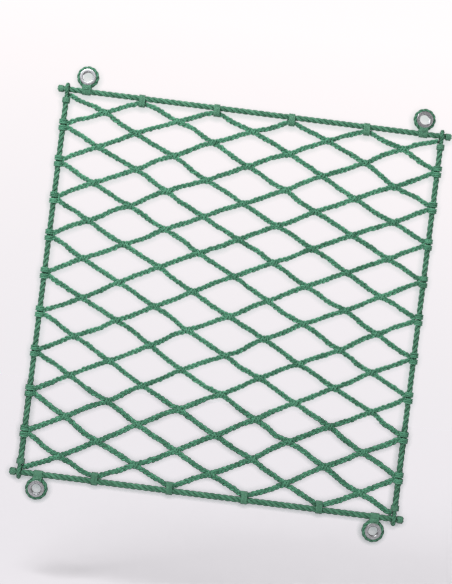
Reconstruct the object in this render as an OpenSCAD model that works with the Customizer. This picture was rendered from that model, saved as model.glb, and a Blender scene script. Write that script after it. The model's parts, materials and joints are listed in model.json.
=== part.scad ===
// Climbing net of knitted diamond mesh in a rope border.
// It hangs in the XZ plane: +X along the rows, +Z up, and -Y is the side that a climber faces.
// The origin is the middle of the net. Every row of meshes turns on the row above it.

/* [Netting] */
// Half the width of one mesh, which is the distance between neighbouring columns of junctions
half_mesh = 89; // [75:1:110]
// Height of the top row, from one line of junctions to the next
rise_top = 42; // [38:0.5:52]
// Height of the bottom row
rise_bottom = 49; // [38:0.5:54]
// Diameter of the knitted cord
cord_d = 10.5; // [8:0.5:12]

/* [Junctions] */
// Diameter of the knit eye in which the next cord turns
eye_d = 12; // [11:0.5:13]
// Length of that eye along the row
eye_l = 11; // [9:0.5:13]
// Diameter of the cord where it is drawn through the eye
neck_d = 6; // [5:0.5:7]
// Length of neck that roots in the cord past each end of the eye
neck_root = 3.7; // [3:0.1:5]
// Radial clearance of the neck in its eye
neck_fit = 0.05; // [0.02:0.01:0.1]
// Gap between an eye and the cord that passes round it
eye_gap = 0.3; // [0.2:0.1:0.5]
// Gap between the cords above and below a line, at the end of the eye
cord_gap = 0.3; // [0.2:0.1:1]

/* [Border rope] */
// Diameter of the rope all round the net
rope_d = 14; // [12:1:16]
// Length of rope that stands out past each side rope
rope_tail = 22; // [22:1:40]
// Gap between two lengths of side rope at their hinge line
rope_gap = 0.3; // [0.2:0.1:0.6]
// Angle that each end of a side rope falls away from its hinge line
rope_relief = 8; // [7:1:12]
// Radial clearance of what is wound round the rope
wrap_fit = 0.05; // [0.02:0.01:0.1]
// Wall of the cord wound round the rope
wrap_wall = 2.5; // [2:0.25:4]
// Width of a lashing on the head and foot ropes
lashing_w = 16; // [12:1:20]
// Width of a selvedge loop on a side rope
loop_w = 12; // [9:1:14]
// Wall of the spliced eye in which a side rope ends
splice_wall = 6; // [5:0.5:8]
// Length of the whipping on a rope end
whipping_l = 12; // [8:1:13]
// Wall of the whipping
whipping_wall = 1.2; // [0.8:0.2:2]

/* [Corner eyes] */
// Distance of each eye from its nearest side rope
eye_inset = 45; // [40:1:80]
// Diameter of the rope in the eye
becket_d = 12; // [10:1:12]
// Bore of the steel thimble
thimble_bore = 24; // [20:1:30]
// Wall of the thimble at the bottom of its groove
thimble_wall = 2.5; // [2:0.5:4]
// Width of the thimble
thimble_w = 16; // [14:1:18]
// Height of the thimble's flanges over its groove
flange_h = 5; // [4:0.5:6]
// Gap between the thimble and the rope round it
seat_gap = 0.1; // [0.05:0.05:0.2]
// Diameter of the seizing that holds the eye on the rope
seizing_d = 22; // [18:1:24]

/* [Hidden] */
rows = 20;
columns = 10;
$fn = 48;
cord_r = cord_d / 2;
rope_r = rope_d / 2;
eye_r = eye_d / 2;
neck_r = neck_d / 2;
becket_r = becket_d / 2;
// The neck is longer than its eye, so that it roots in the cord at both ends
neck_l = eye_l + 2 * eye_gap + 2 * neck_root;
wrap_r = rope_r + wrap_fit + wrap_wall;
splice_r = rope_r + wrap_fit + splice_wall;
// A cord that is lashed to a rope keeps its corner just under the lashing
lashed_lift = wrap_r + 2;
side_x = half_mesh * columns / 2;
rise_step = (rise_bottom - rise_top) / (rows - 1);
net_h = (rise_top + rise_bottom) / 2 * rows;
far = 2 * net_h;

// Height of a line of junctions: line 0 is the head rope and line `rows` is the foot rope
function line_z(k) = net_h / 2 - k * rise_top - rise_step * k * (k - 1) / 2;
// Slope of the flattest legs, whose corners stand off the line of junctions by `lift`
function flattest(lift) = (min(rise_top, rise_bottom) - 2 * lift) / half_mesh;
// Stand-off at which legs of that slope clear the line of junctions at the end of the eye
function stand_off(slope) =
    cord_r * sqrt(1 + slope * slope) - slope * (eye_l / 2 + eye_gap) + cord_gap / 2;
// Each pass brings the stand-off and the slope closer to each other
corner_lift = stand_off(flattest(stand_off(flattest(stand_off(flattest(cord_r))))));
// Place of a column of junctions, counted from the left edge
function column_x(c) = (c - columns / 2) * half_mesh;
// A column has its junctions on every second line
function on_line(c, k) = (c + k) % 2 == 0;
function two_digits(n) = str(n < 10 ? "0" : "", n);
function cord_name(k) = str("mesh_cord_", two_digits(k));
function side_name(k) = str("side_ropes_", two_digits(k));

// A bar of round section along X, centred on the origin
module bar_x(r, l) {
    rotate([0, 90, 0]) cylinder(r = r, h = l, center = true);
}

// The gap between two columns, as a slab that trims a leg to its mitres
module between_columns(c) {
    translate([column_x(c), -cord_d, -far / 2]) cube([half_mesh, 2 * cord_d, far]);
}

// One straight leg of a cord between two points of the XZ plane
module leg(x1, z1, x2, z2) {
    run = x2 - x1;
    climb = z2 - z1;
    length = sqrt(run * run + climb * climb);
    translate([(x1 + x2) / 2, 0, (z1 + z2) / 2])
        rotate([0, 90 - atan2(climb, run), 0])
            cylinder(r = cord_r, h = length + 4 * cord_d, center = true);
}

// Height of a cord's corner in column c: row k runs between lines k - 1 and k
function corner_z(k, c) =
    on_line(c, k)
    ? line_z(k) + (k == rows ? lashed_lift : corner_lift)
    : line_z(k - 1) - (k == 1 ? lashed_lift : corner_lift);

// The zigzag of row k, mitred at every corner
module zigzag(k) {
    for (c = [0:columns - 1])
        intersection() {
            leg(column_x(c), corner_z(k, c), column_x(c + 1), corner_z(k, c + 1));
            between_columns(c);
        }
}

// Places its children at each inner junction of row k on line l
module at_junctions(l) {
    for (c = [1:columns - 1])
        if (on_line(c, l))
            translate([column_x(c), 0, line_z(l)]) children();
}

// The two loops that end row k, each round the side rope next to its hinge line
module selvedge_loops(k) {
    l = k % 2 == 0 ? k : k - 1;
    away = k % 2 == 0 ? 1 : -1;
    start = wrap_r * tan(rope_relief) + rope_gap;
    for (side = [-1, 1])
        translate([side * side_x, 0, line_z(l) + away * (start + loop_w / 2)])
            cylinder(r = wrap_r, h = loop_w, center = true);
}

// Room for the side rope, and for its spliced eye at the head and the foot
module side_rope_room(k) {
    for (side = [-1, 1]) {
        translate([side * side_x, 0, (line_z(k - 1) + line_z(k)) / 2])
            cylinder(r = rope_r + wrap_fit, h = far, center = true);
        translate([side * (side_x + far / 2 - rope_r - seat_gap), 0, line_z(k == 1 ? 0 : rows)])
            if (k == 1 || k == rows)
                cube([far, far, 2 * (splice_r + seat_gap)], center = true);
    }
}

// Cuts off what stands out past the side ropes
module outside_sides() {
    for (side = [-1, 1])
        translate([side * (side_x + half_mesh / 2), 0, 0]) cube([half_mesh, 2 * cord_d, far], center = true);
}

// One knitted cord: eyes at its lower corners, drawn-in necks at its upper ones
module mesh_cord(k) {
    lower_hinge = k < rows;
    upper_hinge = k > 1;
    looped = k > 1 && k < rows;
    color("seagreen")
        union() {
            difference() {
                union() {
                    difference() {
                        zigzag(k);
                        outside_sides();
                        if (upper_hinge) at_junctions(k - 1) bar_x(eye_r + eye_gap, eye_l + 2 * eye_gap);
                    }
                    if (lower_hinge) at_junctions(k) bar_x(eye_r, eye_l);
                    if (looped) selvedge_loops(k);
                }
                if (lower_hinge) at_junctions(k) bar_x(neck_r + neck_fit, neck_l + 2 * eye_gap);
                side_rope_room(k);
                if (k == 1) at_junctions(0) bar_x(wrap_r + wrap_fit, lashing_w + 2 * seat_gap);
                if (k == rows) at_junctions(rows) bar_x(wrap_r + wrap_fit, lashing_w + 2 * seat_gap);
            }
            if (upper_hinge) at_junctions(k - 1) bar_x(neck_r, neck_l);
        }
}

// A half space whose face falls away from the hinge line by the relief angle on both sides
module hinge_relief(up) {
    for (tilt = [-rope_relief, rope_relief])
        rotate([tilt, 0, 0])
            translate([0, 0, up * (far / 2 - rope_gap / 2)]) cube([far, far, far], center = true);
}

// The left and right lengths of side rope that belong to row k
module side_ropes(k) {
    top = line_z(k - 1);
    bottom = line_z(k);
    color("darkgreen")
        for (side = [-1, 1])
            translate([side * side_x, 0, 0])
                difference() {
                    union() {
                        translate([0, 0, bottom]) cylinder(r = rope_r, h = top - bottom);
                        if (k == 1) translate([0, 0, top]) bar_x(splice_r, rope_d);
                        if (k == rows) translate([0, 0, bottom]) bar_x(splice_r, rope_d);
                    }
                    if (k == 1) translate([0, 0, top]) bar_x(rope_r + wrap_fit, far);
                    else translate([0, 0, top]) hinge_relief(1);
                    if (k == rows) translate([0, 0, bottom]) bar_x(rope_r + wrap_fit, far);
                    else translate([0, 0, bottom]) hinge_relief(-1);
                }
}

// The straight rope at the head or the foot
module end_rope(l) {
    color("darkgreen") translate([0, 0, line_z(l)]) bar_x(rope_r, 2 * (side_x + rope_tail));
}

// A wound ring round a rope that runs along X
module wound_ring(r_out, l) {
    difference() {
        bar_x(r_out, l);
        bar_x(rope_r + wrap_fit, l + 1);
    }
}

// The lashings that hold the corners of the netting to the head or the foot rope
module lashings(l) {
    color("mediumseagreen") at_junctions(l) wound_ring(wrap_r, lashing_w);
}

// The whippings on both ends of a rope
module whippings(l) {
    color("mediumseagreen")
        for (side = [-1, 1])
            translate([side * (side_x + rope_tail - whipping_l / 2 - 1), 0, line_z(l)])
                wound_ring(rope_r + wrap_fit + whipping_wall, whipping_l);
}

becket_ring_r = thimble_bore / 2 + thimble_wall + seat_gap + becket_r;
becket_lift = rope_r + seat_gap + becket_r + becket_ring_r;
eye_x = side_x - eye_inset;

// Places its children at the two eyes on one rope: up is 1 at the head and -1 at the foot
module at_eyes(l, up) {
    for (side = [-1, 1])
        translate([side * eye_x, 0, line_z(l) + up * becket_lift]) children();
}

// The ring of rope that lies in the thimble's groove
module becket_ring(extra) {
    rotate([90, 0, 0]) rotate_extrude() translate([becket_ring_r, 0]) circle(r = becket_r + extra);
}

module beckets(l, up) {
    color("darkgreen") at_eyes(l, up) becket_ring(0);
}

// The thimble's section is a flat wall with a round groove, turned about the Y axis
module thimble() {
    wall_r = thimble_bore / 2;
    rotate([90, 0, 0])
        rotate_extrude()
            difference() {
                translate([wall_r, -thimble_w / 2]) square([thimble_wall + flange_h, thimble_w]);
                translate([becket_ring_r, 0]) circle(r = becket_r + seat_gap);
            }
}

module thimbles(l, up) {
    color("silver") at_eyes(l, up) thimble();
}

// The lump of seizing between the rope and the becket that stands on it
module seizings(l, up) {
    reach = rope_r + seat_gap + becket_r;
    color("mediumseagreen")
        for (side = [-1, 1])
            translate([side * eye_x, 0, line_z(l)])
                difference() {
                    translate([0, 0, up * (reach - wrap_r) / 2])
                        cylinder(d = seizing_d, h = reach + wrap_r, center = true);
                    bar_x(rope_r + wrap_fit, far);
                    translate([0, 0, up * becket_lift]) becket_ring(seat_gap);
                }
}

end_rope(0);  // head_rope
lashings(0);  // head_lashings
beckets(0, 1);  // hanging_beckets
thimbles(0, 1);  // hanging_thimbles
seizings(0, 1);  // hanging_seizings
whippings(0);  // head_whippings
for (k = [1:rows]) {
    mesh_cord(k);
    side_ropes(k);
}
end_rope(rows);  // foot_rope
lashings(rows);  // foot_lashings
beckets(rows, -1);  // anchor_beckets
thimbles(rows, -1);  // anchor_thimbles
seizings(rows, -1);  // anchor_seizings
whippings(rows);  // foot_whippings
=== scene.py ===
"""Climbing net of knitted diamond mesh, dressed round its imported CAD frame.

Each class builds one sub-assembly: the knitted rows, the laid ropes, the twine that binds
them, the eyes in the corners, and the studio that the net hangs in. Lengths are in metres.
"""

import sys

import json
import logging
import math
from dataclasses import dataclass, field
from enum import Enum

import bpy
import numpy as np
from mathutils import Matrix, Vector

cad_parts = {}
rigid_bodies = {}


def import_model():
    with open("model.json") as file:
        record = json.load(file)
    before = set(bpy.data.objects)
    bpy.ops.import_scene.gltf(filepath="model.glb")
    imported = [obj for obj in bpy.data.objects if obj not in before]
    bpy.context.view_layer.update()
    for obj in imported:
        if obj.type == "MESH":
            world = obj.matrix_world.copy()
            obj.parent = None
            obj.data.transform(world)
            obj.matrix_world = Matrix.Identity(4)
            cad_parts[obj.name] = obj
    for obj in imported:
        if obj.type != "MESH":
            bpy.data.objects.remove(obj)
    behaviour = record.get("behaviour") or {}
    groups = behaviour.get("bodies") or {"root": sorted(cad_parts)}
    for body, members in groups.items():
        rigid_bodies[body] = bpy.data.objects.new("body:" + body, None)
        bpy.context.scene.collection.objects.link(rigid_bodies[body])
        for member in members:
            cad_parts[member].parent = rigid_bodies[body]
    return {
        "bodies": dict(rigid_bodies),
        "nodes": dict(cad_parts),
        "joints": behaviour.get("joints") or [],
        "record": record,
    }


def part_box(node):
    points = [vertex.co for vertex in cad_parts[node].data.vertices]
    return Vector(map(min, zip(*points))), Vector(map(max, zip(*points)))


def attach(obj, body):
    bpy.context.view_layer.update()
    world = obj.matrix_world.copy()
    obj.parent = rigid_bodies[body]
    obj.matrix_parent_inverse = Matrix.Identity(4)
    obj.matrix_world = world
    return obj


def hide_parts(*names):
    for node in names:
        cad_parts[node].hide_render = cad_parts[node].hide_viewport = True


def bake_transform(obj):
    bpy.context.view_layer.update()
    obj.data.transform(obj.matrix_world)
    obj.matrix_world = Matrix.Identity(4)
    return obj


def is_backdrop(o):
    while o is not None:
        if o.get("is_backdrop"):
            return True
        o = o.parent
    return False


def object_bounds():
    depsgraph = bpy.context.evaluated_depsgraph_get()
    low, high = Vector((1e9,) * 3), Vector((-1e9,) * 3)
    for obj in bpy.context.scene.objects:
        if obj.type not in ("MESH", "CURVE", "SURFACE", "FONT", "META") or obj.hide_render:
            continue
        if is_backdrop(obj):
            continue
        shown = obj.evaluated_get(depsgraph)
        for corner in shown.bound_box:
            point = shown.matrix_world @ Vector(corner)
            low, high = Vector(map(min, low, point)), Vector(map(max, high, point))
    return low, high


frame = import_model()
log = logging.getLogger("net")

MM = 0.001
TAU = 2 * math.pi
X_AXIS = np.array([1.0, 0.0, 0.0])
Y_AXIS = np.array([0.0, 1.0, 0.0])
Z_AXIS = np.array([0.0, 0.0, 1.0])
BOTH_SIDES = (-1, 1)

# Turns of the yarns per metre of strand.
CORD_TWIST = 45.0
STITCH_TWIST = 60.0
ROPE_TWIST = 26.0
RING_TWIST = 24.0
TWINE_TWIST = 120.0

# Shares of a rope's radius at which its surface counts as deep, for painted shade, and as standing out, for
# painted highlight and wear.
ROPE_DEPTH = (0.62, 0.95)
# Distance from turn to turn of wound twine, as a share of the twine's radius.
TURN_PITCH = 1.93
# A strand's rounded end: how far each ring lies beyond the strand, and its girth, in radii.
TIP_AT = np.array([0.5, 0.87, 1.0])
TIP_GIRTH = np.array([0.87, 0.5, 0.04])


class Lay(Enum):
    """The hand in which strands are laid up, as the sign of their turn."""

    Z_LAID = 1.0
    S_LAID = -1.0


class Edge(Enum):
    """The two ends of the net that carry a straight rope. The value points away from the netting."""

    HEAD = 1.0
    FOOT = -1.0


# ------------------------------------------------------------------ mesh making


@dataclass
class Skin:
    """The surface of one strand, ready to be gathered into a piece.

    Attributes:
        points: Vertex positions, one row each.
        quads: Vertex numbers of the four-sided faces.
        tris: Vertex numbers of the three-sided faces.
        lay: For each vertex, its place across the strand's section and along its length.
        tint: For each vertex, a shade number from 0 to 1.
        crest: For each vertex, 0 where it lies deep between strands and 1 where it stands out; it sets
            painted shade and highlight.
    """

    points: np.ndarray
    quads: np.ndarray
    tris: np.ndarray
    lay: np.ndarray
    tint: np.ndarray
    crest: np.ndarray


def unit(rows: np.ndarray) -> np.ndarray:
    """Scales each row to length one.

    Args:
        rows: Vectors, one per row.

    Returns:
        The unit vectors.
    """
    return rows / np.maximum(np.linalg.norm(rows, axis=-1, keepdims=True), 1e-12)


def tangents(path: np.ndarray, closed: bool) -> np.ndarray:
    """Finds the direction of a path at each of its points.

    Args:
        path: Points of the path.
        closed: Whether the last point is followed by the first.

    Returns:
        Unit vectors along the path.
    """
    if closed:
        return unit(np.roll(path, -1, axis=0) - np.roll(path, 1, axis=0))
    return unit(np.gradient(path, axis=0))


def run_of(path: np.ndarray) -> np.ndarray:
    """Measures the length of a path up to each of its points.

    Args:
        path: Points of the path.

    Returns:
        The lengths, starting at zero.
    """
    steps = np.linalg.norm(np.diff(path, axis=0), axis=1)
    return np.concatenate([[0.0], np.cumsum(steps)])


def cross_axes(along: np.ndarray, across: np.ndarray) -> tuple[np.ndarray, np.ndarray]:
    """Finds two directions square to a path and to each other.

    Args:
        along: Directions of the path.
        across: A direction, or one per point, that is nowhere along the path.

    Returns:
        The direction nearest to across, and the one square to it, for each point.
    """
    side = np.broadcast_to(across, along.shape)
    first = unit(side - (side * along).sum(1, keepdims=True) * along)
    return first, np.cross(along, first)


def capped(rows: np.ndarray) -> np.ndarray:
    """Repeats the first and the last row once for each ring of a rounded end."""
    rings = len(TIP_AT)
    return np.concatenate([np.repeat(rows[:1], rings, 0), rows, np.repeat(rows[-1:], rings, 0)])


def wall(rings: int, sides: int, closed: bool) -> np.ndarray:
    """Joins rings of points with four-sided faces.

    Args:
        rings: Number of rings.
        sides: Number of points in each ring.
        closed: Whether the last ring is joined to the first.

    Returns:
        The vertex numbers of the faces.
    """
    i = np.arange(rings if closed else rings - 1)[:, None]
    j = np.arange(sides)[None, :]
    here, there = i * sides, ((i + 1) % rings) * sides
    turn = (j + 1) % sides
    return np.stack([here + j, here + turn, there + turn, there + j], axis=-1).reshape(-1, 4)


def arc(
    centre: tuple[float, float], radius: float, start: float, stop: float, count: int,
) -> list[np.ndarray]:
    """Draws points along an arc.

    Args:
        centre: Middle of the arc.
        radius: Its radius.
        start: Angle of its first point.
        stop: Angle of its last point.
        count: Number of points.

    Returns:
        The points.
    """
    angles = np.linspace(start, stop, count)
    return [np.array(centre) + radius * np.array([math.cos(a), math.sin(a)]) for a in angles]


def one_shade(draws: np.random.Generator, middle: float) -> float:
    """Draws the shade of one loop, near a middle shade and from 0 to 1."""
    return float(np.clip(draws.normal(middle, 0.15), 0, 1))


def sweep(
    path: np.ndarray,
    radius: float | np.ndarray,
    sides: int,
    across: np.ndarray,
    twist: float = 0.0,
    closed: bool = False,
    ends: bool = True,
    tint: float | np.ndarray = 0.5,
    start: float = 0.0,
    core: np.ndarray | None = None,
    depth: tuple[float, float] = (0.0, 1.0),
) -> Skin:
    """Draws a strand of round section along a path.

    Args:
        path: Points of the centreline.
        radius: Radius of the strand, or one radius per point.
        sides: Number of sides of its section.
        across: A direction, or one per point, that is nowhere along the path.
        twist: Turns of the yarns per metre of strand.
        closed: Whether the strand joins its own start.
        ends: Whether an open strand is closed with rounded ends.
        tint: Shade of the strand, or one shade per point.
        start: Length of strand before the first point.
        core: The point of the whole cord's middle that is nearest to each point of the path.
        depth: Distances from the core at which the surface counts as deep and as standing out.

    Returns:
        The strand's surface.
    """
    count = len(path)
    reach = np.broadcast_to(np.asarray(radius, float), (count,))
    shade = np.broadcast_to(np.asarray(tint, float), (count,))
    along = tangents(path, closed)
    run = run_of(path) + start
    rounded = ends and not closed
    if rounded:
        head = path[0] - along[0] * reach[0] * TIP_AT[::-1, None]
        tail = path[-1] + along[-1] * reach[-1] * TIP_AT[:, None]
        path = np.vstack([head, path, tail])
        along, shade = capped(along), capped(shade)
        across = capped(across) if np.ndim(across) == 2 else across
        core = None if core is None else capped(core)
        run = np.concatenate([run[0] - reach[0] * TIP_AT[::-1], run, run[-1] + reach[-1] * TIP_AT])
        reach = np.concatenate([reach[0] * TIP_GIRTH[::-1], reach, reach[-1] * TIP_GIRTH])
        count = len(path)
    first, second = cross_axes(along, across)
    angle = np.arange(sides) * TAU / sides
    cos, sin = np.cos(angle)[None, :, None], np.sin(angle)[None, :, None]
    ring = cos * first[:, None] + sin * second[:, None]
    points = (path[:, None] + reach[:, None, None] * ring).reshape(-1, 3)
    crest = np.ones(len(points))
    if core is not None:
        away = np.linalg.norm(points - np.repeat(core, sides, axis=0), axis=1)
        crest = np.clip((away - depth[0]) / (depth[1] - depth[0]), 0, 1)
    turned = angle[None, :] - TAU * twist * run[:, None]
    x, y = reach[:, None] * np.cos(turned), reach[:, None] * np.sin(turned)
    lay = np.stack([x, y, np.broadcast_to(run[:, None], turned.shape)], axis=-1).reshape(-1, 3)
    tris = np.zeros((0, 3), int)
    if rounded:
        rim = np.arange(1, sides - 1)
        near = np.stack([np.zeros_like(rim), rim + 1, rim], axis=-1)
        tris = np.vstack([near, (count - 1) * sides + near[:, ::-1]])
    return Skin(points, wall(count, sides, closed), tris, lay, np.repeat(shade, sides), crest)


def lathe(profile: np.ndarray, centre: np.ndarray, steps: int, tint: float = 0.5) -> Skin:
    """Turns a closed outline about an axis along Y.

    Args:
        profile: Points of the outline as (radius, y), in the order that turns its skin outward.
        centre: The point that the axis passes through.
        steps: Number of steps round the axis.
        tint: Shade of the whole surface.

    Returns:
        The turned surface.
    """
    angle = np.arange(steps) * TAU / steps
    radius, depth = profile[:, 0], profile[:, 1]
    x = np.cos(angle)[:, None] * radius
    z = np.sin(angle)[:, None] * radius
    points = np.stack([x, np.broadcast_to(depth, x.shape), z], axis=-1).reshape(-1, 3) + centre
    lay = np.stack([x, z, np.broadcast_to(run_of(profile), x.shape)], axis=-1).reshape(-1, 3)
    tris = np.zeros((0, 3), int)
    shade, crest = np.full(len(points), tint), np.ones(len(points))
    return Skin(points, wall(steps, len(profile), True), tris, lay, shade, crest)


class Bench:
    """Gathers the skins of one piece and makes its mesh object."""

    def __init__(self, name: str) -> None:
        """Starts an empty piece.

        Args:
            name: Name of the piece.
        """
        self.name = name
        self.skins: list[Skin] = []

    def add(self, *skins: Skin) -> None:
        """Adds skins to the piece."""
        self.skins.extend(skins)

    def make(self, finish: bpy.types.Material) -> bpy.types.Object:
        """Makes the mesh object from all the skins.

        Args:
            finish: Material of the piece.

        Returns:
            The new object, in the scene and with no parent.
        """
        offsets = np.concatenate([[0], np.cumsum([len(s.points) for s in self.skins])[:-1]])
        points = np.vstack([s.points for s in self.skins])
        quads = np.vstack([s.quads + o for s, o in zip(self.skins, offsets)])
        tris = np.vstack([s.tris + o for s, o in zip(self.skins, offsets)])
        corners = np.concatenate([quads.ravel(), tris.ravel()])
        starts = np.concatenate([np.arange(len(quads)) * 4, quads.size + np.arange(len(tris)) * 3])
        mesh = bpy.data.meshes.new(self.name)
        mesh.vertices.add(len(points))
        mesh.vertices.foreach_set("co", points.astype(np.float32).ravel())
        mesh.loops.add(len(corners))
        mesh.loops.foreach_set("vertex_index", corners.astype(np.int32))
        mesh.polygons.add(len(starts))
        mesh.polygons.foreach_set("loop_start", starts.astype(np.int32))
        mesh.update(calc_edges=True)
        mesh.polygons.foreach_set("use_smooth", np.full(len(mesh.polygons), True))
        for name, kind, key in (
            ("lay", "FLOAT_VECTOR", "vector"), ("tint", "FLOAT", "value"), ("crest", "FLOAT", "value"),
        ):
            rows = np.concatenate([getattr(s, name) for s in self.skins]).astype(np.float32)
            mesh.attributes.new(name, kind, "POINT").data.foreach_set(key, rows.ravel())
        mesh.validate()
        mesh.materials.append(finish)
        made = bpy.data.objects.new(self.name, mesh)
        bpy.context.scene.collection.objects.link(made)
        log.info("%s: %d vertices, %d faces", self.name, len(points), len(mesh.polygons))
        return made


# ------------------------------------------------------------------ shader nodes


class Tree:
    """Adds nodes to one node tree and wires them up."""

    def __init__(self, tree: bpy.types.NodeTree) -> None:
        """Takes the tree to work on.

        Args:
            tree: Node tree of a material, a world or a group.
        """
        self.nodes = tree.nodes
        self.links = tree.links

    def put(self, kind: str, inputs: dict | None = None, **settings: object) -> bpy.types.Node:
        """Adds one node.

        Args:
            kind: Blender's name for the node's type.
            inputs: Values or sockets for its inputs, by name or number.
            settings: Properties to set on the node.

        Returns:
            The new node.
        """
        node = self.nodes.new(kind)
        for key, value in settings.items():
            setattr(node, key, value)
        for key, value in (inputs or {}).items():
            self.feed(node.inputs[key], value)
        return node

    def feed(self, socket: bpy.types.NodeSocket, value: object) -> None:
        """Links a socket to an input, or sets the input's own value."""
        if isinstance(value, bpy.types.NodeSocket):
            self.links.new(value, socket)
        else:
            socket.default_value = value

    def sum(self, operation: str, *values: object, clamp: bool = False) -> bpy.types.NodeSocket:
        """Does one step of arithmetic on numbers.

        Args:
            operation: Blender's name for the operation.
            values: Numbers or sockets.
            clamp: Whether the result is held between 0 and 1.

        Returns:
            The result.
        """
        node = self.put("ShaderNodeMath", dict(enumerate(values)), operation=operation, use_clamp=clamp)
        return node.outputs[0]

    def blend(self, share: object, first: object, second: object, mode: str = "MIX") -> bpy.types.NodeSocket:
        """Mixes two colours.

        Args:
            share: Share of the second colour.
            first: First colour or socket.
            second: Second colour or socket.
            mode: Blender's name for the way of mixing.

        Returns:
            The mixed colour.
        """
        node = self.put("ShaderNodeMix", {0: share, 6: first, 7: second}, data_type="RGBA", blend_type=mode)
        return node.outputs[2]

    def noise(
        self, vector: object, scale: object, detail: float = 2.0, rough: float = 0.5,
    ) -> bpy.types.NodeSocket:
        """Adds a noise texture.

        Args:
            vector: Coordinates.
            scale: Size of its grain.
            detail: Number of finer layers.
            rough: Strength of the finer layers.

        Returns:
            The noise value.
        """
        inputs = {"Vector": vector, "Scale": scale, "Detail": detail, "Roughness": rough}
        return self.put("ShaderNodeTexNoise", inputs).outputs[0]

    def spread(
        self, value: object, low: object, high: object, to_low: object = 0.0, to_high: object = 1.0,
    ) -> bpy.types.NodeSocket:
        """Maps a range of values to another one, and holds it there.

        Args:
            value: Value to map.
            low: Value that gives to_low.
            high: Value that gives to_high.
            to_low: Lower result.
            to_high: Higher result.

        Returns:
            The mapped value.
        """
        inputs = {"Value": value, "From Min": low, "From Max": high, "To Min": to_low, "To Max": to_high}
        return self.put("ShaderNodeMapRange", inputs).outputs[0]

    def stretched(self, vector: object, scale: tuple[float, float, float]) -> bpy.types.NodeSocket:
        """Multiplies each part of a vector by its own number."""
        return self.put("ShaderNodeVectorMath", {0: vector, 1: scale}, operation="MULTIPLY").outputs[0]
    def swing(self, value: object, share: object, middle: float = 0.5) -> bpy.types.NodeSocket:
        """Takes a value's distance from a middle, times a share."""
        return self.sum("MULTIPLY", self.sum("SUBTRACT", value, middle), share)


def new_material(name: str) -> tuple[bpy.types.Material, Tree, bpy.types.Node]:
    """Starts a material.

    Args:
        name: Name of the material.

    Returns:
        The material, a Tree to work on it, and its shader.
    """
    material = bpy.data.materials.new(name)
    material.use_nodes = True
    return material, Tree(material.node_tree), material.node_tree.nodes["Principled BSDF"]


def new_group(
    name: str, inputs: dict[str, float | None], outputs: dict[str, str],
) -> tuple[bpy.types.NodeTree, Tree, dict, bpy.types.Node]:
    """Starts a shader node group with named sockets.

    Args:
        name: Name of the group.
        inputs: Name and default of each input. An input with no default takes a vector.
        outputs: Name and socket type of each output.

    Returns:
        The group, a Tree to work on it, its inputs' sockets by name, and its output node.
    """
    group = bpy.data.node_groups.new(name, "ShaderNodeTree")
    for key, value in inputs.items():
        kind = "NodeSocketVector" if value is None else "NodeSocketFloat"
        made = group.interface.new_socket(key, in_out="INPUT", socket_type=kind)
        if value is not None:
            made.default_value = value
    for key, kind in outputs.items():
        group.interface.new_socket(key, in_out="OUTPUT", socket_type=kind)
    tree = Tree(group)
    source = tree.put("NodeGroupInput")
    sink = tree.put("NodeGroupOutput")
    return group, tree, {key: source.outputs[key] for key in inputs}, sink


def filament_group() -> bpy.types.NodeTree:
    """Builds the group that draws yarns and filaments along a strand, with painted shade in the grooves
    between yarns.

    Returns:
        A group that turns the lay of a strand into a shade and a height; the shade holds painted shade in the
        yarns' grooves, a little painted highlight on their tops, and random filament streaks.
    """
    inputs = {"Lay": None, "Yarns": 5.0, "Groove": 0.5, "Filament Scale": 900.0, "Filament": 0.5}
    outputs = {"Shade": "NodeSocketFloat", "Height": "NodeSocketFloat"}
    group, tree, take, sink = new_group("filament lay", inputs, outputs)
    parts = tree.put("ShaderNodeSeparateXYZ", {0: take["Lay"]}).outputs
    angle = tree.sum("ARCTAN2", parts[1], parts[0])
    half_turns = tree.sum("MULTIPLY", tree.sum("MULTIPLY", angle, take["Yarns"]), 0.5)
    yarn = tree.sum("POWER", tree.sum("ABSOLUTE", tree.sum("SINE", half_turns)), 0.6)
    streak = tree.noise(tree.stretched(take["Lay"], (1.0, 1.0, 0.12)), take["Filament Scale"], 3.0, 0.6)
    # The yarn term darkens the grooves and lightens the yarns' tops in the shade: painted shade and
    # highlight.
    both = tree.sum("ADD", tree.swing(streak, take["Filament"]), tree.swing(yarn, take["Groove"], 0.75))
    tree.feed(sink.inputs["Height"], both)
    tree.feed(sink.inputs["Shade"], tree.sum("ADD", both, 0.5, clamp=True))
    return group


def fluff_group() -> bpy.types.NodeTree:
    """Builds the group that breaks up a fibre surface with loose ends and lint.

    Returns:
        A group that gives a mask of lint and a fine height.
    """
    inputs = {"Place": None, "Scale": 1400.0, "Amount": 0.3}
    outputs = {"Lint": "NodeSocketFloat", "Height": "NodeSocketFloat"}
    group, tree, take, sink = new_group("fibre fluff", inputs, outputs)
    fine = tree.noise(take["Place"], take["Scale"], 3.0, 0.7)
    patch = tree.noise(take["Place"], tree.sum("MULTIPLY", take["Scale"], 0.12), 2.0, 0.5)
    edge = tree.sum("SUBTRACT", 0.68, tree.sum("MULTIPLY", take["Amount"], 0.2))
    mask = tree.spread(fine, edge, tree.sum("ADD", edge, 0.1))
    tree.feed(sink.inputs["Lint"], tree.sum("MULTIPLY", mask, tree.spread(patch, 0.4, 0.6)))
    tree.feed(sink.inputs["Height"], tree.swing(fine, take["Amount"]))
    return group


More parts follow.
